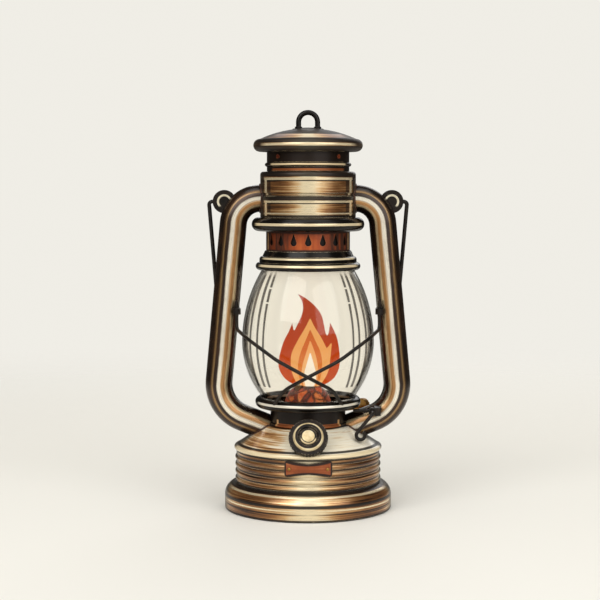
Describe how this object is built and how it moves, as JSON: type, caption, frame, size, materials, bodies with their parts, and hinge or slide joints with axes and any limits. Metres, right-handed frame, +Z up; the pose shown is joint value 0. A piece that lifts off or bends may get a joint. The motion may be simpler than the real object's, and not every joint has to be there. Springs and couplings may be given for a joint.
{
  "type": "camping lantern",
  "caption": "Tubular wick lantern: ribbed tank, side air tubes, bulged glass globe with crossed guard wires, pierced gallery, sprung hood with lift loop, wick winder and wire bail.",
  "frame": {"origin": "centre of the foot ring on the surface it stands on", "axes": "+Z up through the hood, -Y to the front with the filler cap, air tubes to -X and +X"},
  "size_m": [0.1748, 0.142, 0.3374],
  "materials": {
    "aged_bronze": "aged, brushed",
    "dark_bronze": "dark patina",
    "red_copper": "heat-tinted copper",
    "yellow_brass": "plain brass",
    "black_wire": "blackened wire",
    "plain_steel": "plain",
    "clear_glass": "clear, polished",
    "cotton_wick": "woven cotton",
    "gasket_rubber": "matte",
    "flame_glow": "glowing"
  },
  "bodies": {
    "frame": {"foot_ring": "aged_bronze", "tank": "aged_bronze", "front_plate": "red_copper", "shoulder": "aged_bronze", "filler_neck": "yellow_brass", "burner_drum": "dark_bronze", "burner_collar": "yellow_brass", "burner_deck": "yellow_brass", "burner_dome": "red_copper", "wick_tube": "yellow_brass", "spindle_bush": "yellow_brass", "left_air_tube": "aged_bronze", "right_air_tube": "aged_bronze", "air_canister": "aged_bronze", "canister_flange": "dark_bronze", "left_bail_ear": "dark_bronze", "right_bail_ear": "dark_bronze", "left_guard_eye": "black_wire", "right_guard_eye": "black_wire", "lever_bracket": "black_wire", "hood_spring": "plain_steel", "flame": "flame_glow"},
    "globe_carriage": {"globe_plate": "dark_bronze", "globe": "clear_glass", "left_guard_wire": "black_wire", "right_guard_wire": "black_wire"},
    "hood": {"globe_collar": "dark_bronze", "gallery": "red_copper", "chimney_tube": "plain_steel", "spring_seat": "plain_steel", "hood_neck": "dark_bronze", "hood_rivets": "dark_bronze", "hood_cap": "aged_bronze", "lift_loop": "dark_bronze"},
    "lever": {"globe_lever": "black_wire"},
    "winder": {"winder_spindle": "plain_steel", "star_wheels": "yellow_brass", "thumb_wheel": "yellow_brass"},
    "wick_strip": {"wick": "cotton_wick"},
    "gasket": {"filler_gasket": "gasket_rubber"},
    "cap": {"filler_cap": "dark_bronze"},
    "bail_handle": {"bail": "black_wire"}
  },
  "joints": [
    {"name": "globe_lift", "type": "slide", "parent": "frame", "child": "globe_carriage", "axis": [0, 0, 1], "range_m": [0, 0.008], "deforming": ["hood_spring"]},
    {"name": "hood_lift", "type": "slide", "parent": "globe_carriage", "child": "hood", "axis": [0, 0, 1], "range_m": [0, 0.008], "stiffness_N_per_m": 400, "springref_m": -0.012, "deforming": ["hood_spring"]},
    {"name": "globe_lever_turn", "type": "hinge", "parent": "frame", "child": "lever", "pos_m": [0.054, -0.0197, 0.084], "axis": [0, 1, 0], "range_deg": [0, 30]},
    {"name": "winder_turn", "type": "hinge", "parent": "frame", "child": "winder", "pos_m": [-0.00402, 0.00479, 0.0781], "axis": [-0.766, -0.6428, 0], "range_deg": [-100, 60]},
    {"name": "wick_feed", "type": "slide", "parent": "frame", "child": "wick_strip", "axis": [0, 0, 1], "range_m": [-0.008, 0.005]},
    {"name": "filler_cap_rise", "type": "slide", "parent": "frame", "child": "gasket", "axis": [0, -0.848, 0.5299], "range_m": [0, 0.00905]},
    {"name": "filler_cap_turn", "type": "hinge", "parent": "gasket", "child": "cap", "pos_m": [0, -0.0485, 0.0622], "axis": [0, -0.848, 0.5299], "range_deg": [0, 1080]},
    {"name": "bail_swing", "type": "hinge", "parent": "frame", "child": "bail_handle", "pos_m": [0, 0, 0.2603], "axis": [1, 0, 0], "range_deg": [0, 315]}
  ],
  "couplings": [
    {"joint": "globe_lever_turn", "follows": "globe_lift", "rad_per_m": 65.45},
    {"joint": "wick_feed", "follows": "winder_turn", "m_per_rad": 0.0044},
    {"joint": "filler_cap_rise", "follows": "filler_cap_turn", "m_per_rad": 0.00047746}
  ]
}
